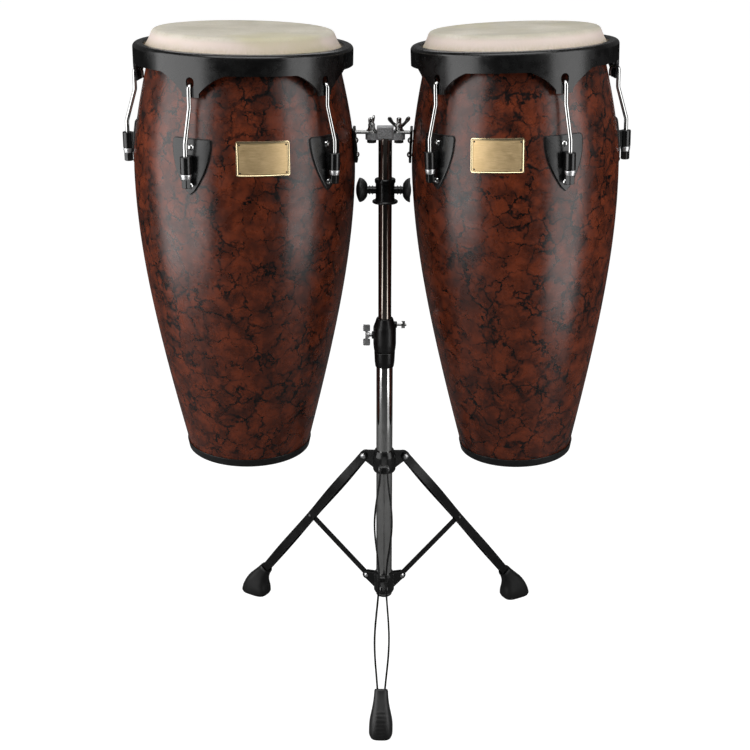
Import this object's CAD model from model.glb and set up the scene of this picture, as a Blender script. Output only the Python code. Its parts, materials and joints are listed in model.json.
"""The looks of a pair of conga drums on a folding stand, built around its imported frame.

Everything is in metres, +Z up, in the frame's own coordinates.  The larger drum is on -X and
the smaller on +X, and the player stands at -Y.  Each drum has a frame of its own, with its foot
at the origin and +Z along its axis, and its pieces are drawn there and then set in place.
"""
import json
import math

import bmesh
import bpy
from mathutils import Matrix, Vector, noise

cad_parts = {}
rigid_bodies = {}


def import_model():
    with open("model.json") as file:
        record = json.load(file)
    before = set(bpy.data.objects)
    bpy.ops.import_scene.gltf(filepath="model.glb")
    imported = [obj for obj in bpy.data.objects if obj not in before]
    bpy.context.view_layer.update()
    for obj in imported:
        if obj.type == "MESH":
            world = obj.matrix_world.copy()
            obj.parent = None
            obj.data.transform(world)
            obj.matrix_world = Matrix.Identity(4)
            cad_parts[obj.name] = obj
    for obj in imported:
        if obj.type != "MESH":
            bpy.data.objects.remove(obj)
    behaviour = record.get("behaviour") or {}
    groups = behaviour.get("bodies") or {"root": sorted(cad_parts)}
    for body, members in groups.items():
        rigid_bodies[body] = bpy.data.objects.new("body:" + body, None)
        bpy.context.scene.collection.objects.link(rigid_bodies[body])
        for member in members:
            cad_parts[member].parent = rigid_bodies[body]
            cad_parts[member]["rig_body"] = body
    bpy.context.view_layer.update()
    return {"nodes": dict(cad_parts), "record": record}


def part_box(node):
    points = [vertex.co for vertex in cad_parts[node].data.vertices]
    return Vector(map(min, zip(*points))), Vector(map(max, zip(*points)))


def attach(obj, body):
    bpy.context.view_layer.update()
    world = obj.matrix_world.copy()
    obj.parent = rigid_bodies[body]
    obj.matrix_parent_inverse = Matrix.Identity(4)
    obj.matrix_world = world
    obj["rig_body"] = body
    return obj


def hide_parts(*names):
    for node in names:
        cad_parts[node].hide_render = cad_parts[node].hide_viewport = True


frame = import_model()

MM = 0.001
SHARP = math.radians(34)  # edges sharper than this stay crisp
WELD = 2e-6

# The drums' own sizes.  foot, belly and mouth are radii of the shell, and FLARE says how
# straight its staves run away from the belly.  head, rim and rod_out are the radii of the head,
# of the rim's band and of the circle of the rods.  first_lug and badge_turn are in degrees from
# the front, and seed sets the pleats of each head apart.
SHELL_TOP = 709 * MM
SHELL_WALL = 10 * MM
FLARE = 3
LUG_COUNT = 5
LUG_PITCH = 360 / LUG_COUNT
DRUMS = {
    "large": {"foot": 103.6 * MM, "belly": 178.9 * MM, "belly_height": 488.5 * MM,
              "mouth": 138.3 * MM, "head": 143.3 * MM, "rim": 173.0 * MM,
              "rod_out": 192.8 * MM, "first_lug": -20.2, "badge_turn": 15.8, "seed": 7.0},
    "small": {"foot": 93.6 * MM, "belly": 166.5 * MM, "belly_height": 490.8 * MM,
              "mouth": 129.2 * MM, "head": 134.2 * MM, "rim": 162.7 * MM,
              "rod_out": 181.3 * MM, "first_lug": 22.3, "badge_turn": -13.7, "seed": 31.0},
}


# ---------------------------------------------------------------- materials

class Paint:
    """A material being made: nodes are added by kind and wired by the names of their sockets."""

    def __init__(self, name, **sockets):
        self.material = bpy.data.materials.new(name)
        self.material.use_nodes = True
        self.tree = self.material.node_tree
        self.shader = self.tree.nodes["Principled BSDF"]
        for socket, value in sockets.items():
            self.shader.inputs[socket.replace("_", " ")].default_value = value
        self.place = self.node("TexCoord").outputs["Object"]

    def node(self, kind, inputs=None, **settings):
        made = self.tree.nodes.new("ShaderNode" + kind)
        for name, value in settings.items():
            setattr(made, name, value)
        for name, value in (inputs or {}).items():
            if isinstance(value, bpy.types.NodeSocket):
                self.tree.links.new(value, made.inputs[name])
            else:
                made.inputs[name].default_value = value
        return made

    def wire(self, socket, value):
        """Lets a value drive one of the shader's own sockets."""
        self.tree.links.new(value, self.shader.inputs[socket])

    def noise(self, scale, detail=3.0, rough=0.5, at=None):
        made = self.node("TexNoise", {"Vector": at or self.place, "Scale": scale,
                                      "Detail": detail, "Roughness": rough})
        return made.outputs["Fac"]

    def attribute(self, name):
        return self.node("Attribute", attribute_name=name).outputs["Fac"]

    def stretched(self, across, up):
        """Object coordinates scaled in X and Y and in Z, for grain that runs one way."""
        made = self.node("Mapping", {"Vector": self.place, "Scale": (across, across, up)})
        return made.outputs["Vector"]

    def warped(self, scale, reach):
        """Object coordinates pushed about by cloudy noise, by up to half of reach."""
        cloudy = self.node("TexNoise", {"Vector": self.place, "Scale": scale, "Detail": 5.0,
                                        "Roughness": 0.6}).outputs["Color"]
        centred = self.node("VectorMath", {0: cloudy, 1: (0.5, 0.5, 0.5)},
                            operation="SUBTRACT").outputs[0]
        shift = self.node("VectorMath", {0: centred, "Scale": reach},
                          operation="SCALE").outputs[0]
        return self.node("VectorMath", {0: self.place, 1: shift}, operation="ADD").outputs[0]

    def cells(self, feature, scale, at=None):
        made = self.node("TexVoronoi", {"Vector": at or self.place, "Scale": scale},
                         feature=feature)
        return made.outputs["Distance"]

    def math(self, operation, first, second=0.0):
        return self.node("Math", {0: first, 1: second}, operation=operation).outputs[0]

    def span(self, value, low, high, to_low=0.0, to_high=1.0):
        """value from low to high turned smoothly into to_low to to_high."""
        made = self.node("MapRange", {"Value": value, "From Min": low, "From Max": high,
                                      "To Min": to_low, "To Max": to_high},
                         interpolation_type="SMOOTHSTEP")
        return made.outputs["Result"]

    def mix(self, share, *colours):
        """Two colours mixed, each a socket or three numbers."""
        first, second = (colour if isinstance(colour, bpy.types.NodeSocket) else (*colour, 1.0)
                         for colour in colours)
        return self.node("Mix", {0: share, 6: first, 7: second}, data_type="RGBA").outputs[2]

    def bump(self, height, distance, below=None):
        """A surface raised by height times distance, on top of the bump below."""
        inputs = {"Height": height, "Distance": distance, "Strength": 1.0}
        if below is not None:
            inputs["Normal"] = below
        return self.node("Bump", inputs).outputs["Normal"]


def shell_lacquer():
    """Satin lacquer over marbling: brick-brown patches parted by wandering near-black veins."""
    dark_patch, light_patch = (0.053, 0.0110, 0.0048), (0.140, 0.0270, 0.0095)
    shadow, hairline_tone = (0.023, 0.0068, 0.0042), (0.007, 0.0035, 0.003)
    vein_tone = (0.002, 0.0015, 0.0015)
    paint = Paint("shell_lacquer", Roughness=0.25, IOR=1.5)
    wandering = paint.warped(24.0, 0.06)
    cloud = paint.noise(13.0, 5.0, 0.62)

    # veins follow the edges of large cells, wider where it is cloudy, ragged and half broken
    width = paint.span(cloud, 0.40, 0.65, 0.030, 0.104)
    ragged = paint.math("ADD", paint.cells("DISTANCE_TO_EDGE", 29.0, wandering),
                        paint.span(paint.noise(170.0, 5.0, 0.7), 0.3, 0.7, -0.026, 0.026))
    vein = paint.span(paint.math("DIVIDE", ragged, width), 0.2, 1.0, 1.0, 0.0)
    broken = paint.span(paint.noise(31.0, 4.0, 0.6), 0.34, 0.52, 0.45, 1.0)

    # hairlines follow the edges of small cells, and show most where it is cloudy
    small_cells = paint.cells("DISTANCE_TO_EDGE", 64.0, wandering)
    hairline = paint.math("MULTIPLY", paint.span(small_cells, 0.0, 0.07, 1.0, 0.0),
                          paint.span(cloud, 0.42, 0.58, 0.2, 0.9))

    patches = paint.mix(paint.span(paint.noise(40.0, 5.0, 0.62), 0.36, 0.66),
                        dark_patch, light_patch)
    ground = paint.mix(paint.span(cloud, 0.48, 0.72, 0.0, 0.5), patches, shadow)
    lined = paint.mix(paint.math("MULTIPLY", hairline, 0.8), ground, hairline_tone)
    paint.wire("Base Color", paint.mix(paint.math("MULTIPLY", vein, broken), lined, vein_tone))
    paint.wire("Roughness", paint.span(paint.noise(60.0, 3.0), 0.3, 0.7, 0.25, 0.32))
    paint.wire("Normal", paint.bump(paint.noise(240.0, 2.0), 0.06 * MM))
    return paint.material


def rawhide():
    """Ivory skin: cloudy, flecked and stained, rosier on the shoulder, and yellower and fibrous
    where it is pulled down to its tuck."""
    ivory, cream, fleck_tone = (0.49, 0.455, 0.36), (0.66, 0.615, 0.525), (0.37, 0.31, 0.22)
    rosy, stain_tone, tuck_tone = (0.74, 0.63, 0.565), (0.50, 0.455, 0.26), (0.40, 0.345, 0.16)
    paint = Paint("rawhide", Roughness=0.55, IOR=1.45, Subsurface_Weight=0.10,
                  Subsurface_Scale=3 * MM, Subsurface_Radius=(1.0, 0.7, 0.45))
    clouds = paint.noise(11.0, 5.0, 0.6)
    fibres = paint.noise(1.0, 5.0, 0.65, at=paint.stretched(330.0, 60.0))
    flecks = paint.span(paint.noise(330.0, 4.0, 0.75), 0.52, 0.70, 0.0, 0.55)
    stains = paint.span(paint.noise(7.0, 3.0, 0.5), 0.5, 0.68, 0.0, 0.55)
    tuck = paint.math("MULTIPLY", paint.attribute("tuck"),
                      paint.span(fibres, 0.3, 0.7, 0.35, 1.0))
    tone = paint.mix(paint.span(clouds, 0.3, 0.7), ivory, cream)
    for share, above in ((flecks, fleck_tone), (paint.attribute("shoulder"), rosy),
                         (stains, stain_tone), (tuck, tuck_tone)):
        tone = paint.mix(share, tone, above)
    paint.wire("Base Color", tone)
    paint.wire("Roughness", paint.span(clouds, 0.3, 0.7, 0.48, 0.62))
    coarse = paint.bump(paint.noise(85.0, 5.0, 0.65), 0.5 * MM)
    paint.wire("Normal", paint.bump(fibres, 0.25 * MM, coarse))
    return paint.material


def coat(name, tone, rough, grain, depth):
    """Paint or moulding with a fine orange-peel skin and slightly uneven gloss."""
    paint = Paint(name, Roughness=rough, IOR=1.5)
    smudge = paint.noise(38.0, 5.0, 0.6)
    lighter = tuple(value * 1.7 + 0.002 for value in tone)
    paint.wire("Base Color", paint.mix(paint.span(smudge, 0.35, 0.75), tone, lighter))
    paint.wire("Roughness", paint.span(smudge, 0.25, 0.75, rough - 0.05, rough + 0.07))
    paint.wire("Normal", paint.bump(paint.noise(grain, 2.0), depth))
    return paint.material


def plated(name, tone, rough, drawn=(900.0, 25.0), depth=0.004 * MM):
    """Polished or drawn metal with faint lines along Z and light smudges in its gloss."""
    paint = Paint(name, Metallic=1.0, Roughness=rough)
    smudge = paint.noise(45.0, 5.0, 0.6)
    darker = tuple(value * 0.82 for value in tone)
    paint.wire("Base Color", paint.mix(paint.span(smudge, 0.35, 0.75), tone, darker))
    paint.wire("Roughness", paint.span(smudge, 0.3, 0.75, rough, rough + 0.09))
    lines = paint.noise(1.0, 3.0, 0.6, at=paint.stretched(*drawn))
    paint.wire("Normal", paint.bump(lines, depth))
    return paint.material


def brass():
    """Brass: brushed across where the piece is a panel, with a dark line round it, and polished
    on its rolled border."""
    dull, bright, aged_tone = (0.66, 0.47, 0.235), (0.86, 0.66, 0.38), (0.48, 0.33, 0.15)
    line_tone, polished = (0.16, 0.10, 0.035), (0.92, 0.76, 0.46)
    paint = Paint("brass", Metallic=1.0, Roughness=0.3)
    panel = paint.attribute("panel")
    lines = paint.noise(1.0, 3.0, 0.7, at=paint.stretched(90.0, 2600.0))
    brushed = paint.mix(paint.span(lines, 0.3, 0.7), dull, bright)
    aged = paint.mix(paint.span(paint.noise(26.0, 4.0, 0.6), 0.4, 0.75, 0.0, 0.4), brushed,
                     aged_tone)
    inner = paint.mix(paint.math("MULTIPLY", paint.attribute("groove"), 0.75), aged, line_tone)
    paint.wire("Base Color", paint.mix(panel, polished, inner))
    panel_rough = paint.math("MULTIPLY", panel, paint.span(lines, 0.3, 0.7, 0.46, 0.6))
    border_rough = paint.span(panel, 0.0, 1.0, 0.2, 0.0)
    paint.wire("Roughness", paint.math("ADD", panel_rough, border_rough))
    paint.wire("Normal", paint.bump(paint.math("MULTIPLY", lines, panel), 0.02 * MM))
    return paint.material


def hammered():
    """Grey hammered enamel on a casting: round dimples with bright rims."""
    dimple, rim = (0.48, 0.485, 0.49), (0.76, 0.77, 0.78)
    paint = Paint("hammered_grey", Metallic=0.55, Roughness=0.36)
    dimples = paint.cells("SMOOTH_F1", 520.0)
    paint.wire("Base Color", paint.mix(paint.span(dimples, 0.15, 0.6), dimple, rim))
    paint.wire("Roughness", paint.span(paint.noise(200.0, 3.0), 0.3, 0.7, 0.3, 0.45))
    paint.wire("Normal", paint.bump(dimples, 0.5 * MM))
    return paint.material


MATERIALS = {
    "shell_lacquer": shell_lacquer(),
    "rawhide": rawhide(),
    "black_coat": coat("black_coat", (0.003, 0.003, 0.003), 0.25, 900.0, 0.02 * MM),
    "black_plastic": coat("black_plastic", (0.0035, 0.0035, 0.0035), 0.33, 1500.0, 0.03 * MM),
    "rubber": coat("rubber", (0.005, 0.005, 0.005), 0.45, 1100.0, 0.06 * MM),
    "nylon": coat("nylon", (0.62, 0.61, 0.56), 0.5, 700.0, 0.04 * MM),
    "chrome": plated("chrome", (0.64, 0.64, 0.63), 0.08),
    "dark_chrome": plated("dark_chrome", (0.36, 0.31, 0.275), 0.1),
    "hoop_steel": plated("hoop_steel", (0.52, 0.52, 0.52), 0.32),
    "grey_zinc": plated("grey_zinc", (0.74, 0.745, 0.75), 0.36, (500.0, 500.0), 0.03 * MM),
    "brass": brass(),
    "hammered_grey": hammered(),
}
SLOTS = {part["node"]: part["material_slot"] for part in frame["record"]["subparts"]}
BODY = {node: piece["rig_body"] for node, piece in frame["nodes"].items()}


def finish_of(piece, slot):
    piece.data.materials.clear()
    piece.data.materials.append(MATERIALS[slot])
    return piece


# ---------------------------------------------------------------- building pieces

def shade(build):
    """Smooth shading everywhere but across sharp edges."""
    for edge in build.edges:
        edge.smooth = not edge.is_manifold or edge.calc_face_angle(0) < SHARP
    for face in build.faces:
        face.smooth = True


def settle(piece, slot, body, replaced):
    """Gives a new piece its finish, its body and the CAD nodes that it stands for."""
    bpy.context.scene.collection.objects.link(piece)
    finish_of(piece, slot)
    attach(piece, body)
    if replaced:
        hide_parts(*replaced)
    return piece


def joined(*solids):
    """Several lists of points and faces as one."""
    points, faces = [], []
    for some_points, some_faces in solids:
        start = len(points)
        points += some_points
        faces += [tuple(start + index for index in face) for face in some_faces]
    return points, faces


def mesh_piece(name, solid, slot, body, replaced=()):
    """A new piece of the object from its points and faces."""
    points, faces = solid
    mesh = bpy.data.meshes.new(name)
    mesh.from_pydata([tuple(point) for point in points], [], [list(face) for face in faces])
    build = bmesh.new()
    build.from_mesh(mesh)
    bmesh.ops.remove_doubles(build, verts=build.verts, dist=WELD)
    bmesh.ops.recalc_face_normals(build, faces=build.faces)
    shade(build)
    build.to_mesh(mesh)
    build.free()
    return settle(bpy.data.objects.new(name, mesh), slot, body, replaced)


def drum_piece(name, ending, solid, slot, *nodes):
    """A piece of a drum that stands for CAD nodes; all of them are named after the drum."""
    return mesh_piece(f"{name}_{ending}", solid, slot, f"{name}_drum",
                      [f"{name}_{node}" for node in nodes])


def eased(node, width=0.0, slot=None):
    """A CAD node's shape with its corners eased by width, standing for the node."""
    build = bmesh.new()
    build.from_mesh(frame["nodes"][node].data)
    bmesh.ops.remove_doubles(build, verts=build.verts, dist=WELD)
    flat = math.radians(0.1)
    bmesh.ops.join_triangles(build, faces=build.faces, angle_face_threshold=flat,
                             angle_shape_threshold=math.pi)
    mesh = bpy.data.meshes.new(node + "_eased")
    shade(build)
    build.to_mesh(mesh)
    build.free()
    piece = bpy.data.objects.new(node + "_eased", mesh)
    settle(piece, slot or SLOTS[node], BODY[node], [node])
    if not width:
        return piece
    bevel = piece.modifiers.new("ease", "BEVEL")
    bevel.width = width
    bevel.segments = 3
    bevel.limit_method = "ANGLE"
    bevel.angle_limit = SHARP
    normals = piece.modifiers.new("normals", "WEIGHTED_NORMAL")
    normals.weight = 100
    normals.keep_sharp = True
    bpy.context.view_layer.update()
    seen = piece.evaluated_get(bpy.context.evaluated_depsgraph_get())
    shaped = bpy.data.meshes.new_from_object(seen)
    shaped.name = mesh.name
    piece.modifiers.clear()
    piece.data = shaped
    return piece


def lathe(profile, place=Matrix(), segments=64, closed=True, across=None, opening=0.0):
    """A profile of (radius, height) turned about the Z of place.  across is the width over the
    flats of a hexagon that the turned shape is cut down to, and opening is the angle of a split
    left open at the back."""
    points, faces = [], []
    rows = segments + 1 if opening else segments
    for step in range(rows):
        turn = math.pi + opening / 2 + (2 * math.pi - opening) * step / segments
        flat = math.inf
        if across:
            corner = (turn + math.pi / 6) % (math.pi / 3) - math.pi / 6
            flat = across / 2 / math.cos(corner)
        for radius, height in profile:
            reach = min(radius, flat)
            points.append(place @ Vector((reach * math.sin(turn), -reach * math.cos(turn),
                                          height)))
    count = len(profile)
    for step in range(segments):
        here, there = step * count, (step + 1) % rows * count
        for index in range(count if closed else count - 1):
            after = (index + 1) % count
            faces.append((here + index, there + index, there + after, here + after))
    if opening:
        faces += [tuple(range(count)), tuple(range(segments * count, rows * count))]
    return points, faces


def arc(centre, radius, start, end, steps):
    """Points of a circle, with angles in degrees from the first axis to the second."""
    angles = [math.radians(start + (end - start) * step / steps) for step in range(steps + 1)]
    return [(centre[0] + radius * math.cos(angle), centre[1] + radius * math.sin(angle))
            for angle in angles]


def rounded(corners, radius, steps=4):
    """A run of corners, all but its two ends rounded with a reach of at most radius."""
    outline = [corners[0]]
    for before, corner, after in zip(corners, corners[1:], corners[2:]):
        here = Vector(corner)
        back, ahead = Vector(before) - here, Vector(after) - here
        reach = min(radius, back.length * 0.49, ahead.length * 0.49)
        start, end = here + back.normalized() * reach, here + ahead.normalized() * reach
        for step in range(steps + 1):
            share = step / steps
            point = start.lerp(here, share).lerp(here.lerp(end, share), share)
            outline.append((point.x, point.y))
    return outline + [corners[-1]]


def ring(corners, radius, steps=4):
    """A closed outline with every corner rounded."""
    return rounded([corners[-1], *corners, corners[0]], radius, steps)[1:-1]


def flowing(knots, steps=6):
    """A closed smooth curve through a few points."""
    curve = []
    count = len(knots)
    for index in range(count):
        a, b, c, d = (Vector(knots[(index + shift) % count]) for shift in (-1, 0, 1, 2))
        for step in range(steps):
            t = step / steps
            point = (b * 2 + (c - a) * t + (a * 2 - b * 5 + c * 4 - d) * t ** 2
                     + (b * 3 - a - c * 3 + d) * t ** 3) / 2
            curve.append((point.x, point.y))
    return curve


def evenly(outline, longest):
    """A closed outline with points added so that no stretch is longer than longest."""
    finer = []
    for index, point in enumerate(outline):
        start, end = Vector(outline[index - 1]), Vector(point)
        pieces = max(1, math.ceil((end - start).length / longest))
        finer += [tuple(start.lerp(end, step / pieces)) for step in range(1, pieces + 1)]
    return finer


def drawn_in(outline, distance):
    """A closed outline moved inward, square to itself."""
    moved = []
    for index, (across, up) in enumerate(outline):
        before, after = outline[index - 1], outline[(index + 1) % len(outline)]
        run = Vector((after[0] - before[0], after[1] - before[1])).normalized()
        moved.append((across - run.y * distance, up + run.x * distance))
    return moved


def walls(rows, count):
    """The faces between closed rows of count points each, one row after another."""
    faces = []
    for row in range(rows - 1):
        for step in range(count):
            here, after = row * count + step, row * count + (step + 1) % count
            faces.append((here, after, after + count, here + count))
    return faces


def fan(tip, start, count):
    """The faces between a point and the closed row of points that begins at start."""
    return [(tip, start + step, start + (step + 1) % count) for step in range(count)]


def pressed(outline, levels, put):
    """A closed sheet from copies of one outline, which runs anticlockwise.  Each level is how
    far the copy is drawn in, its scale about the middle, and its height; put places a point."""
    count = len(outline)
    middle = [sum(values) / count for values in zip(*outline)]
    points, faces = [], walls(len(levels), count)
    for depth, share, out in levels:
        for across, up in drawn_in(outline, depth):
            points.append(put(middle[0] + (across - middle[0]) * share,
                              middle[1] + (up - middle[1]) * share, out))
    for start, level in ((0, levels[0]), ((len(levels) - 1) * count, levels[-1])):
        points.append(put(*middle, level[2]))
        faces += fan(len(points) - 1, start, count)
    return points, faces


def smooth_step(low, high, value):
    """0 where value is low, 1 where it is high, and smooth in between."""
    share = min(max((value - low) / (high - low), 0.0), 1.0)
    return share * share * (3 - 2 * share)


def put_attribute(piece, name, value_at):
    """A number at each point of a piece, for its material to read."""
    attribute = piece.data.attributes.new(name, "FLOAT", "POINT")
    for index, vertex in enumerate(piece.data.vertices):
        attribute.data[index].value = value_at(vertex.co)


def turned_about_z(degrees):
    return Matrix.Rotation(math.radians(degrees), 4, "Z")


# ---------------------------------------------------------------- a drum's frame and curve

def middle_of(node):
    low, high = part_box(node)
    return (low + high) / 2


def drum_place(name):
    """The drum's frame: foot at the origin, +Z along its axis, +X to the right."""
    low, high = middle_of(f"{name}_bottom_ring"), middle_of(f"{name}_flesh_hoop")
    axis = (high - low).normalized()
    across = (Vector((1, 0, 0)) - axis * axis.x).normalized()
    ring_points = frame["nodes"][f"{name}_bottom_ring"].data.vertices
    foot = min((point.co - low).dot(axis) for point in ring_points)
    turned = Matrix((across, axis.cross(across), axis)).transposed().to_4x4()
    return Matrix.Translation(low + axis * foot) @ turned


def shell_radius(drum, height):
    """The outside of the shell: one curve from the belly down to the foot, one up to the mouth."""
    ends = math.sqrt(1 + FLARE) - 1
    if height < drum["belly_height"]:
        share, end = 1 - height / drum["belly_height"], drum["foot"]
    else:
        share = (height - drum["belly_height"]) / (SHELL_TOP - drum["belly_height"])
        end = drum["mouth"]
    return drum["belly"] - (drum["belly"] - end) * (math.sqrt(1 + FLARE * share ** 2) - 1) / ends


def on_shell(drum, turn, along, height, out):
    """A point on the shell: turned from the front, then along round it, up it and out of it."""
    radius = shell_radius(drum, height)
    rise = (shell_radius(drum, height + MM) - shell_radius(drum, height - MM)) / (2 * MM)
    length = math.hypot(1, rise)
    angle = math.radians(turn) + along / radius
    reach = radius + out / length
    return Vector((reach * math.sin(angle), -reach * math.cos(angle), height - out * rise / length))


def wrapped(drum, place, turn):
    """Puts points (along, up, out) on the shell, about a turn from the front."""
    return lambda along, up, out: place @ on_shell(drum, turn, along, up, out)


def lug_turns(drum):
    return [drum["first_lug"] + LUG_PITCH * index for index in range(LUG_COUNT)]


# ---------------------------------------------------------------- shell and head

def make_shell(name, drum, place):
    """Stave shell with a rounded bearing edge on the outside and a bevel on the inside."""
    edge_round, bevel, low = 6 * MM, 10 * MM, 3 * MM
    stations, around = 64, 256
    top, inner_top = SHELL_TOP - edge_round, SHELL_TOP - bevel
    rising = [low + (top - low) * step / stations for step in range(stations + 1)]
    falling = [inner_top - (inner_top - low) * step / stations for step in range(stations + 1)]
    outside = [(shell_radius(drum, height), height) for height in rising]
    crown = arc((outside[-1][0] - edge_round, top), edge_round, 0, 90, 8)[1:]
    inside = [(shell_radius(drum, height) - SHELL_WALL, height) for height in falling]
    drum_piece(name, "marbled_shell", lathe(outside + crown + inside, place, around),
               "shell_lacquer", "shell")


def make_head(name, drum, place):
    """Rawhide stretched over the bearing edge, pulled down inside the rim and tucked round
    its hoop, with small pleats that grow towards the tuck."""
    top, skin, dish, roll = 711 * MM, 2 * MM, 0.25 * MM, 10 * MM
    head, hoop = drum["head"], drum["rim"] - 20 * MM
    hoop_height, wrap = 678 * MM, 3.6 * MM
    slope_steps, most_sag = 14, 0.9 * MM
    flat = [(share * (head - 12 * MM), top - dish * (1 - share ** 2))
            for share in (0, 0.25, 0.5, 0.7, 0.85, 0.95, 1)]
    shoulder = arc((head - 9 * MM, top - roll), roll, 78, 18, 10)
    start, end = Vector(shoulder[-1]), Vector((hoop + wrap + 1.4 * MM, hoop_height + 3 * MM))
    slope = []
    for step in range(1, slope_steps + 1):
        share = step / slope_steps
        sag = math.sin(share * math.pi) * most_sag
        slope.append(tuple(start.lerp(end, share) - Vector((sag, sag))))
    tuck = arc((hoop, hoop_height), wrap + skin, 20, -150, 14)
    back = [(hoop - 5 * MM, hoop_height + 6 * MM), (head - 3 * MM, top - 13 * MM)]
    under = arc((head - 9 * MM, top - 11 * MM), 7.5 * MM, 15, 85, 6) + [(0, top - skin)]
    points, faces = lathe(flat + shoulder + slope + tuck + back + under, segments=320,
                          closed=False)
    own_pleats = Vector((0.0, 0.0, drum["seed"]))
    broad, fine = 24, 60
    moved = []
    for point in points:
        outward = Vector((point.x, point.y, 0))
        radius = outward.length
        if radius > head - roll:
            outward.normalize()
            low = smooth_step(0.0, 1.0, (top - point.z) / (top - hoop_height))
            pleat = (noise.noise(outward * broad + own_pleats) * 0.75
                     + noise.noise(outward * fine + own_pleats) * 0.4) * MM * low
            outer = smooth_step(head - 6 * MM, hoop, radius)
            point = point - outward * abs(pleat) * outer - Vector((0, 0, pleat * 0.6))
        moved.append(place @ point)
    piece = drum_piece(name, "rawhide_head", (moved, faces), "rawhide", "head")
    to_drum = place.inverted()

    def depth(point):
        return (top - (to_drum @ point).z) / (top - hoop_height)

    put_attribute(piece, "tuck", lambda point: smooth_step(0.3, 1.0, depth(point)))
    put_attribute(piece, "shoulder", lambda point: smooth_step(0.02, 0.3, depth(point)))


# ---------------------------------------------------------------- what hangs on a drum

tube_middle = middle_of("lower_tube")
MAST = Matrix.Translation((tube_middle.x, tube_middle.y, 0))


def shield_outline():
    """The lug plate's outline: flat top with round corners, curved sides and a blunt point."""
    half, top, point, waist = 32 * MM, 566 * MM, 484 * MM, 556 * MM
    sweep = 14
    side = []
    for step in range(sweep):
        share = step / sweep
        side.append((half * (1 - 0.9 * share ** 1.9), waist + (point - waist) * share))
    right = side[::-1] + rounded([(half, waist), (half, top), (0, top)], 5 * MM, 5)[1:-1]
    left = [(-across, up) for across, up in right[::-1]]
    return evenly([(0, point - 0.5 * MM)] + right + left, 6 * MM)


def make_lug_plates(name, drum, place):
    """Shield plates with eased edges, each on a thin gasket that shows round it."""
    outline = shield_outline()
    plate_levels = [(0.6 * MM, 1, 0.9 * MM), (0, 1, 1.3 * MM), (0, 1, 2.2 * MM),
                    (0.3 * MM, 1, 2.75 * MM), (0.9 * MM, 1, 3.02 * MM), (1.8 * MM, 1, 3.05 * MM)]
    plate_levels += [(1.8 * MM, share, 3.05 * MM) for share in (0.8, 0.55, 0.3)]
    gasket_levels = [(0, 1, 0.05 * MM), (-1 * MM, 1, 0.1 * MM), (-1.1 * MM, 1, 0.5 * MM),
                     (-0.9 * MM, 1, 0.85 * MM), (0.4 * MM, 1, 0.9 * MM)]
    for ending, levels, slot, nodes in (
            ("shield_plates", plate_levels, "black_coat", ["lug_plates"]),
            ("plate_gaskets", gasket_levels, "rubber", [])):
        sheets = [pressed(outline, levels, wrapped(drum, place, turn))
                  for turn in lug_turns(drum)]
        drum_piece(name, ending, joined(*sheets), slot, *nodes)


def make_badge(name, drum, place):
    """Blank brass plate with a rolled border round a brushed panel, bent to the shell, and its
    four round pins."""
    half_wide, half_tall, middle, panel = 41 * MM, 26 * MM, 540 * MM, 0.78 * MM
    panel_in, line_in, flat_in = 2.3 * MM, 2.6 * MM, 3.9 * MM
    corners = [(-half_wide, middle - half_tall), (half_wide, middle - half_tall),
               (half_wide, middle + half_tall), (-half_wide, middle + half_tall)]
    outline = evenly(ring(corners, 4 * MM, 5), 4 * MM)
    levels = [(0.4 * MM, 1, 0.05 * MM), (0, 1, 0.35 * MM), (0.1 * MM, 1, 0.95 * MM),
              (0.5 * MM, 1, 1.4 * MM), (1.1 * MM, 1, 1.55 * MM), (1.7 * MM, 1, 1.45 * MM),
              (2.2 * MM, 1, 1.05 * MM), (2.5 * MM, 1, panel), (line_in, 1, panel),
              (3.7 * MM, 1, panel), (flat_in, 1, panel)]
    levels += [(flat_in, share, panel) for share in (0.97, 0.85, 0.65, 0.45, 0.25)]
    put = wrapped(drum, place, drum["badge_turn"])
    piece = drum_piece(name, "blank_badge", pressed(outline, levels, put), "brass", "badge")
    to_drum = place.inverted()

    def from_edge(point):
        """How far a point of the plate is in from its nearest edge."""
        here = to_drum @ point
        turn = math.atan2(here.x, -here.y) - math.radians(drum["badge_turn"])
        along = abs(turn * math.hypot(here.x, here.y))
        return min(half_wide - along, half_tall - abs(here.z - middle))

    def in_line(point):
        inward = from_edge(point)
        return (smooth_step(panel_in, line_in, inward)
                * smooth_step(flat_in, flat_in - 0.2 * MM, inward))

    put_attribute(piece, "panel",
                  lambda point: smooth_step(panel_in, panel_in + 0.4 * MM, from_edge(point)))
    put_attribute(piece, "groove", in_line)
    pin_in, proud, sunk, hair = 5.6 * MM, 1.2 * MM, panel - 0.3 * MM, 0.02 * MM
    dome = [(hair, proud), (0.9 * MM, proud - 0.12 * MM), (1.5 * MM, proud - 0.5 * MM),
            (1.6 * MM, sunk), (hair, sunk)]
    pins = []
    for sideways in (-1, 1):
        for up in (-1, 1):
            along, height = sideways * (half_wide - pin_in), middle + up * (half_tall - pin_in)
            foot, tip = put(along, height, 0), put(along, height, 1)
            stand = (tip - foot).to_track_quat("Z", "Y").to_matrix().to_4x4()
            pins.append(lathe(dome, Matrix.Translation(foot) @ stand, 20))
    drum_piece(name, "round_pins", joined(*pins), "black_coat", "badge_pins")


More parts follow.
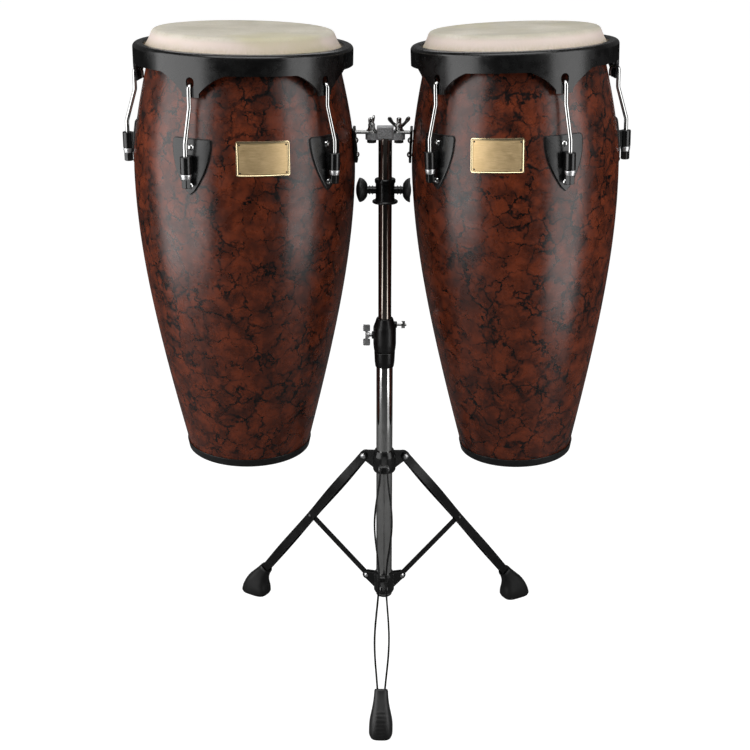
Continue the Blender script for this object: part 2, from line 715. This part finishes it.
def make_lugs(name, drum, place):
    """Round lug bodies on their webs, and the flanged nuts below them."""
    bottom, top, barrel, bore = 517 * MM, 543 * MM, 8.25 * MM, 3.5 * MM
    face = shell_radius(drum, 530 * MM) + 2.6 * MM
    lug = [(bore, top - 0.6 * MM), (bore + 0.6 * MM, top)] + rounded(
        [(bore + 0.6 * MM, top), (barrel, top), (barrel, bottom), (bore, bottom)], 1.3 * MM, 4)[1:]
    seat = bottom - 0.05 * MM
    flange = rounded([(bore, seat), (8 * MM, seat), (8 * MM, seat - 2.6 * MM),
                      (6.9 * MM, seat - 8 * MM), (bore, seat - 8 * MM)], 0.9 * MM, 4)
    nut_top, nut_bottom, flats = seat - 8 * MM, 496 * MM, 13 * MM
    nut = rounded([(bore, nut_top), (7.3 * MM, nut_top), (7.3 * MM, nut_bottom + 1.2 * MM),
                   (6.2 * MM, nut_bottom), (bore, nut_bottom)], 0.5 * MM, 2)
    web_half, web_end = 4.5 * MM, drum["rod_out"] - 4 * MM
    web = ring([(-web_half, bottom), (web_half, bottom), (web_half, top), (-web_half, top)],
               1.2 * MM, 3)
    lugs, flanges, nuts = [], [], []
    for turn in lug_turns(drum):
        spin = place @ turned_about_z(turn)
        seat_place = spin @ Matrix.Translation((0, -drum["rod_out"], 0))
        lugs += [lathe(lug, seat_place, 48), pressed(
            web, [(0, 1, web_end), (0, 1, face)],
            lambda across, up, out: spin @ Vector((across, -out, up)))]
        flanges.append(lathe(flange, seat_place, 48))
        nuts.append(lathe(nut, seat_place, 72, across=flats))
    drum_piece(name, "lug_bodies", joined(*lugs), "black_coat", "lug_receivers")
    drum_piece(name, "nut_flanges", joined(*flanges), "grey_zinc", "tension_nuts")
    drum_piece(name, "nut_flats", joined(*nuts), "black_coat", "tension_nuts")


def swept(path, section, put):
    """A closed path of (point, sideways) swept with a section of (out, up)."""
    points = [put(middle + side * out, up) for middle, side in path for out, up in section]
    count, faces = len(section), []
    for step in range(len(path)):
        here, there = step * count, (step + 1) % len(path) * count
        for index in range(count):
            after = (index + 1) % count
            faces.append((here + index, there + index, there + after, here + after))
    return points, faces


def make_bracket(name, drum, place):
    """Black plate with round corners on the shell, and a plated loop of bar that reaches from
    it round the mast's stud."""
    top, bottom, half, gauge, gap = 940 * MM, 885 * MM, 19 * MM, 4 * MM, 0.9 * MM
    side = -1 if name == "large" else 1
    foot = place @ Vector((0, 0, 0))
    axis = place @ Vector((0, 0, 1)) - foot

    def reach(height):
        """From the mast's axis to the shell, level, at a height above the floor."""
        along = (height - foot.z) / axis.z
        return abs(foot.x + axis.x * along - tube_middle.x) - shell_radius(drum, along)

    def on_plate(across, up, out):
        share = (up - bottom) / (top - bottom)
        inner = reach(bottom) + (reach(top) - reach(bottom)) * share
        return MAST @ Vector((side * (inner - gap - out), across, up))

    outline = evenly(ring([(-half, bottom), (half, bottom), (half, top), (-half, top)],
                          5 * MM, 5), 6 * MM)
    plate = pressed(outline, [(0.6 * MM, 1, 0), (0, 1, 0.5 * MM), (0, 1, gauge - 0.8 * MM),
                              (0.8 * MM, 1, gauge)], on_plate)
    drum_piece(name, "bracket_plate", plate, "black_coat", "mount_bracket")
    stud, inner, outer = 22 * MM, 4.35 * MM, 8.5 * MM
    bar, tongue_top, tongue_gauge = (inner + outer) / 2, 934 * MM, 4 * MM
    sunk = 0.5 * MM
    far = reach(tongue_top) - gap - gauge + sunk
    round_end = [Vector((math.cos(math.radians(turn)), math.sin(math.radians(turn))))
                 for turn in range(90, 271, 12)]
    path = [(Vector((stud, 0)) + normal * bar, normal) for normal in round_end]
    path += [(Vector((far, -bar)), Vector((0, -1))), (Vector((far, bar)), Vector((0, 1)))]
    wide, low = (outer - inner) / 2, tongue_top - tongue_gauge
    section = ring([(-wide, low), (wide, low), (wide, tongue_top), (-wide, tongue_top)],
                   1.3 * MM, 4)
    loop = swept(path, section, lambda point, up: MAST @ Vector((side * point.x, point.y, up)))
    drum_piece(name, "bracket_tongue", loop, "chrome", "mount_bracket")


# ---------------------------------------------------------------- mast

def facing(turn, height):
    """A frame on the mast's axis whose +Z points out level, turned from the front."""
    return (MAST @ turned_about_z(turn) @ Matrix.Translation((0, 0, height))
            @ Matrix.Rotation(math.pi / 2, 4, "X"))


def tube_profile(outer, wall, bottom, top):
    """A tube's wall with its ends eased."""
    inner = outer - wall
    corners = [(inner, bottom), (outer, bottom), (outer, top), (inner, top)]
    return ring(corners, 0.5 * MM, 3)


def make_tubes():
    """The two drawn tubes; radii and heights are in millimetres."""
    for name, outer, bottom, top, slot, body in (
            ("lower_tube", 14.3, 88, 594, "chrome", "stand_base"),
            ("upper_tube", 11.1, 330, 923.2, "dark_chrome", "mast")):
        profile = tube_profile(outer * MM, 1.5 * MM, bottom * MM, top * MM)
        mesh_piece(f"{name}_drawn", lathe(profile, MAST, 128), slot, body, [name])


def make_clamp():
    """Moulded clamp: a tapering sleeve, a seam, and a waisted collar split at the back."""
    bore, neck = 14.35 * MM, 11.7 * MM
    seam, bush = 560 * MM, 616.4 * MM
    sleeve = rounded([(bore, 532 * MM), (15.9 * MM, 532 * MM), (17.1 * MM, 541 * MM),
                      (17.9 * MM, seam - 1 * MM), (16.9 * MM, seam), (bore, seam)], 1.6 * MM, 4)
    collar = rounded([(bore, seam), (16.9 * MM, seam), (18.3 * MM, seam + 1.5 * MM),
                      (19.5 * MM, 573 * MM), (19.5 * MM, 603 * MM), (16 * MM, 612 * MM),
                      (14 * MM, 619 * MM), (neck, 619 * MM), (neck, bush), (bore, bush)],
                     2.4 * MM, 5)
    split_wide, split_out = 2 * MM, 19 * MM
    split = 2 * math.asin(split_wide / 2 / split_out)
    solids = [lathe(sleeve, MAST, 96), lathe(collar, MAST, 96, opening=split)]
    boss_left = rounded([(3.1 * MM, 15 * MM), (8 * MM, 15 * MM), (6.5 * MM, 19.5 * MM),
                         (6.5 * MM, 22 * MM), (3.1 * MM, 22 * MM)], 1 * MM, 4)
    boss_right = rounded([(2.6 * MM, 13 * MM), (6.4 * MM, 13 * MM), (5.5 * MM, 18 * MM),
                          (5.5 * MM, 21 * MM), (2.6 * MM, 21 * MM)], 1 * MM, 4)
    solids += [lathe(boss_left, facing(-90, 588 * MM), 40),
               lathe(boss_right, facing(90, 607 * MM), 40)]
    mesh_piece("moulded_height_clamp", joined(*solids), "black_plastic", "stand_base",
               ["height_clamp"])


def make_wing_nuts():
    """Forged wing nuts: a waisted hub with a rolled foot and two ears that rise outward."""
    base, bore = 936 * MM, 4.05 * MM
    hub = rounded([(bore, 0), (6.5 * MM, 0), (6.5 * MM, 1.8 * MM), (5.6 * MM, 3.4 * MM),
                   (5.6 * MM, 9 * MM), (5 * MM, 10 * MM), (bore, 10 * MM)], 0.7 * MM, 4)
    ear = flowing([(4.6 * MM, 3 * MM), (8.2 * MM, 5.2 * MM), (12.6 * MM, 9.6 * MM),
                   (17.4 * MM, 14.4 * MM), (18.3 * MM, 18.6 * MM), (15.6 * MM, 21 * MM),
                   (12 * MM, 19 * MM), (8.6 * MM, 13 * MM), (4.6 * MM, 9.2 * MM)], 6)
    thick = 1.5 * MM
    levels = [(1.6 * MM, 1, -thick), (0.7 * MM, 1, -thick * 0.92), (0.2 * MM, 1, -thick * 0.6),
              (0, 1, 0), (0.2 * MM, 1, thick * 0.6), (0.7 * MM, 1, thick * 0.92),
              (1.6 * MM, 1, thick)]
    for name, turn in (("large", 78), ("small", 8)):
        middle = middle_of(f"{name}_wing_nut")
        place = Matrix.Translation((middle.x, tube_middle.y, base)) @ turned_about_z(turn)
        solids = [lathe(hub, place, 48)]
        for side in (0, 180):
            spin = place @ turned_about_z(side)
            solids.append(pressed(ear, levels, lambda across, up, out: spin @ Vector(
                (across, out, up))))
        mesh_piece(f"{name}_forged_wing_nut", joined(*solids), "chrome", f"{name}_nut",
                   [f"{name}_wing_nut"])


def make_wing_screws():
    """Screws with two flat blades on a short hub, for the height clamp, the support and the leg
    hub.  Heights and lengths in the rows are in millimetres."""
    shank, hub_long, thick = 3 * MM, 7 * MM, 1.7 * MM
    for name, body, turn, height, start, hub_out, half, upright in (
            ("height_wing_bolt", "clamp_wing", -90, 588, 14.7, 26, 19, True),
            ("support_wing_bolt", "support_wing", 163, 846, 11.5, 23, 15, True),
            ("leg_wing_bolt", "hub_wing", 180, 350, 14.7, 28, 15, False)):
        place = facing(turn, height * MM)
        if upright:
            place = place @ turned_about_z(90)
        out, wide = hub_out * MM, half * MM
        turned = rounded([(0, start * MM), (shank, start * MM), (shank, out), (5.4 * MM, out),
                          (4.4 * MM, out + hub_long), (0, out + hub_long)], 0.8 * MM, 4)
        inner, low, high = wide * 0.36, -0.06 * wide, 0.58 * wide
        blade = ring([(2 * MM, high * 0.25), (inner, high * 0.25), (inner, low), (wide, low),
                      (wide, high), (inner, high), (inner, high * 0.66),
                      (2 * MM, high * 0.66)], 2.4 * MM, 5)
        levels = [(1.1 * MM, 1, -thick), (0.3 * MM, 1, -thick * 0.8), (0, 1, -thick * 0.3),
                  (0, 1, thick * 0.3), (0.3 * MM, 1, thick * 0.8), (1.1 * MM, 1, thick)]
        solids = [lathe(turned, place, 40, closed=False)]
        for side in (0, 180):
            spin = place @ turned_about_z(side)
            solids.append(pressed(blade, levels, lambda across, up, over: spin @ Vector(
                (across, over, out + up))))
        mesh_piece(f"{name}_bladed", joined(*solids), "grey_zinc", body, [name])


def make_pads():
    """Rubber pads that flare from the support's arms to a rolled lip and a low dome."""
    low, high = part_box("bumper_pads")
    socket, arm_end, back, lip = 6.05 * MM, 35.1 * MM, 29 * MM, 20 * MM
    clear, dome, bead = 1.2 * MM, 5.2 * MM, 2 * MM
    pads, beads = [], []
    for turn, face in ((-90, tube_middle.x - low.x), (90, high.x - tube_middle.x)):
        crown = [(lip * 0.96 * share, face - clear - dome * share ** 2)
                 for share in (1, 0.9, 0.75, 0.55, 0.3, 0)]
        profile = rounded([(0, arm_end), (socket, arm_end), (socket, back), (9.4 * MM, back),
                           (12 * MM, back + 1.2 * MM), (16.6 * MM, back + 4.6 * MM),
                           (19.3 * MM, back + 9.0 * MM), (lip, back + 12 * MM)],
                          2 * MM, 5) + crown
        place = facing(turn, 838 * MM)
        pads.append(lathe(profile, place, 72, closed=False))
        for out in (19.5 * MM, 24.5 * MM):
            beads.append(lathe(ring([(5.9 * MM, out), (7.3 * MM, out), (7.3 * MM, out + bead),
                                     (5.9 * MM, out + bead)], 0.7 * MM, 4), place, 48))
    mesh_piece("flared_bumper_pads", joined(*pads), "rubber", "support", ["bumper_pads"])
    mesh_piece("support_arm_beads", joined(*beads), "black_coat", "support")


# ---------------------------------------------------------------- feet

def boot_sections():
    """A boot's sections from its sole up.  Each has its middle and the way to its toe, both as
    (out, up), half its depth, half its width, how square it is and how proud its ribs are."""
    leg_angle, neck_along = math.radians(37.8), 372 * MM
    pivot_out, pivot_height = 40.6 * MM, 355.7 * MM
    lean = Vector((-math.sin(leg_angle), math.cos(leg_angle)))
    neck = Vector((pivot_out, pivot_height)) - lean * neck_along
    sole = Vector((296 * MM, 0))
    knots = (sole, sole + Vector((0, 20 * MM)), neck - lean * 26 * MM, neck)
    sole_deep, sole_wide, deep_loss, wide_loss = 28 * MM, 19.5 * MM, 16.2 * MM, 8 * MM
    square, count, rib_count, rib = 3.4, 60, 15, 0.55 * MM
    sections = []
    for step in range(count + 1):
        share = step / count
        rest = 1 - share
        middle = (knots[0] * rest ** 3 + knots[1] * 3 * rest ** 2 * share
                  + knots[2] * 3 * rest * share ** 2 + knots[3] * share ** 3)
        tilt = leg_angle * smooth_step(0.1, 0.85, share)
        toe = Vector((math.cos(tilt), math.sin(tilt)))
        slim = smooth_step(0.06, 0.98, share)
        edge = 1 - 0.07 * (1 - smooth_step(0, 0.07, share)) - 0.10 * smooth_step(0.96, 1, share)
        wave = math.sin(2 * math.pi * share * rib_count)
        ribbed = smooth_step(0.1, 0.14, share) * smooth_step(0.62, 0.58, share)
        sections.append((middle, toe, (sole_deep - deep_loss * slim) * edge,
                         (sole_wide - wide_loss * slim ** 1.15) * edge, square - 0.4 * slim,
                         rib * ribbed * smooth_step(-0.2, 0.2, wave)))
    lip, well, well_deep = 9.2 * MM, 8.8 * MM, 3 * MM
    return sections + [(neck, toe, lip, lip, square, 0),
                       (neck - lean * well_deep, toe, well, well, square, 0)]


def squared(value, power):
    """A sine or a cosine drawn out towards a square's, the more so for a higher power."""
    return math.copysign(abs(value) ** (2 / power), value)


def make_boots():
    """Rubber boots: each grows from a square neck round the bars to a long flat sole, with
    rows of short ribs down the toe."""
    sections, around = boot_sections(), 72
    last = len(sections) - 1
    for name, turn in (("front", 0), ("right", 120), ("left", 240)):
        place = MAST @ turned_about_z(turn)
        points, faces = [], walls(len(sections), around)
        for middle, toe, half_deep, half_wide, power, ribs in sections:
            for step in range(around):
                angle = 2 * math.pi * step / around
                across = squared(math.sin(angle), power) * half_wide
                along = squared(math.cos(angle), power)
                rib = ribs * smooth_step(9 * MM, 7.5 * MM, abs(across)) if along > 0 else 0
                there = middle + toe * (along * half_deep + rib)
                points.append(place @ Vector((across, -there.x, there.y)))
        for end in (0, last):
            middle = sections[end][0]
            points.append(place @ Vector((0, -middle.x, middle.y)))
            faces += fan(len(points) - 1, end * around, around)
        mesh_piece(f"{name}_rubber_boot", (points, faces), "rubber", f"leg_{name}",
                   [f"{name}_foot"])


# ---------------------------------------------------------------- camera and studio

def set_camera():
    """The player's view, a little above the heads."""
    camera = bpy.data.cameras.new("camera")
    camera.lens = 58.21
    camera.sensor_width = 36
    seat = bpy.data.objects.new("camera", camera)
    seat.location = (0.04499, -1.90458, 1.2389)
    seat.rotation_euler = (math.radians(69.81), 0, math.radians(1.346))
    bpy.context.scene.collection.objects.link(seat)
    bpy.context.scene.camera = seat


def softbox(name, width, tall, power, place, aim):
    """A soft rectangular light at a place, turned to face aim."""
    lamp = bpy.data.lights.new(name, "AREA")
    lamp.shape = "RECTANGLE"
    lamp.size = width
    lamp.size_y = tall
    lamp.energy = power
    holder = bpy.data.objects.new(name, lamp)
    holder.location = place
    toward = Vector(aim) - Vector(place)
    holder.rotation_euler = toward.to_track_quat("-Z", "Y").to_euler()
    bpy.context.scene.collection.objects.link(holder)


def set_surround():
    """A world that the camera sees as white and that lights the drums dimly, least from the
    front."""
    world = bpy.data.worlds.new("surround")
    bpy.context.scene.world = world
    world.use_nodes = True
    nodes, links = world.node_tree.nodes, world.node_tree.links
    direction = nodes.new("ShaderNodeTexCoord")
    split = nodes.new("ShaderNodeSeparateXYZ")
    ramp = nodes.new("ShaderNodeMapRange")
    ramp.interpolation_type = "SMOOTHSTEP"
    for name, value in (("From Min", -0.4), ("From Max", 0.6), ("To Min", 0.05),
                        ("To Max", 0.09)):
        ramp.inputs[name].default_value = value
    links.new(direction.outputs["Generated"], split.inputs[0])
    links.new(split.outputs["Y"], ramp.inputs["Value"])
    seen = nodes.new("ShaderNodeLightPath")
    backdrop = nodes.new("ShaderNodeMix")
    backdrop.inputs["B"].default_value = 1.05
    links.new(seen.outputs["Is Camera Ray"], backdrop.inputs["Factor"])
    links.new(ramp.outputs["Result"], backdrop.inputs["A"])
    links.new(backdrop.outputs["Result"], nodes["Background"].inputs["Strength"])
    nodes["Background"].inputs["Color"].default_value = (1.0, 1.0, 1.0, 1.0)


def set_floor():
    """A plain pale floor that reaches past the horizon.  It glows to the camera, as a light
    table does, so it is as white as the surround, and it lights the object only softly."""
    reach = 90.0
    dark, light = (0.15, 0.15, 0.15), (0.17, 0.17, 0.17)
    mesh = bpy.data.meshes.new("floor")
    mesh.from_pydata([(-reach, -reach, 0), (reach, -reach, 0), (reach, reach, 0),
                      (-reach, reach, 0)], [], [(0, 1, 2, 3)])
    floor = bpy.data.objects.new("floor", mesh)
    paper = Paint("floor_paper", Roughness=0.9, Specular_IOR_Level=0.0,
                  Emission_Color=(1.0, 1.0, 1.0, 1.0))
    paper.wire("Emission Strength", paper.node("LightPath").outputs["Is Camera Ray"])
    paper.wire("Base Color", paper.mix(paper.noise(3.0, 2.0), dark, light))
    mesh.materials.append(paper.material)
    bpy.context.scene.collection.objects.link(floor)


set_camera()
set_surround()
set_floor()
softbox("key_left", 1.5, 1.75, 25, (-1.34, -0.62, 1.0), (-0.1, 0, 0.85))
softbox("fill_right", 0.66, 1.65, 9.5, (0.98, -0.54, 0.96), (0.15, 0, 0.85))
softbox("low_left", 1.4, 0.34, 1.0, (-1.4, -0.58, 0.18), (-0.1, 0, 0.3))
softbox("low_right", 0.7, 0.34, 0.45, (1.0, -0.54, 0.18), (0.15, 0, 0.3))
softbox("overhead", 2.0, 1.2, 25, (0.0, -0.7, 2.7), (0, 0, 0.9))
softbox("behind", 2.4, 1.0, 16, (0.0, 2.0, 2.9), (0, 0, 0.6))
bpy.context.scene.view_settings.view_transform = "Standard"

for drum_name, drum_sizes in DRUMS.items():
    for make in (make_shell, make_head, make_lug_plates, make_badge, make_lugs, make_bracket):
        make(drum_name, drum_sizes, drum_place(drum_name))
for make in (make_tubes, make_clamp, make_wing_nuts, make_wing_screws, make_pads, make_boots):
    make()

# how far the corners of the CAD shapes that still show are eased, in millimetres
EASE = {
    "tube_end_plug": 0.5, "strut_anchor": 0.8, "strut_pins": 0, "clamp_screw": 0.3,
    "mast_head": 0.8, "mast_studs": 0.3, "stud_washers": 0.3, "support_collar": 0.5,
    "leg_hub": 0.8, "leg_pins": 0, "clamp_bush": 0, "tube_guide": 0,
}
for leg in ("front", "right", "left"):
    EASE.update({f"{leg}_leg": 0.5, f"{leg}_strut": 0.5})
for drum_name in DRUMS:
    EASE.update({f"{drum_name}_rim": 0.9, f"{drum_name}_bottom_ring": 0.4,
                 f"{drum_name}_bracket_bolts": 0, f"{drum_name}_tension_rods": 0,
                 f"{drum_name}_lug_bolts": 0, f"{drum_name}_lug_nuts": 0.3})
RIVETS = ("leg_pins", "strut_pins")
for node, width in EASE.items():
    eased(node, width * MM, "grey_zinc" if node in RIVETS else None)

# the CAD shapes that nothing stands for show as they are, in their own finish
for node, piece in frame["nodes"].items():
    finish_of(piece, SLOTS[node])
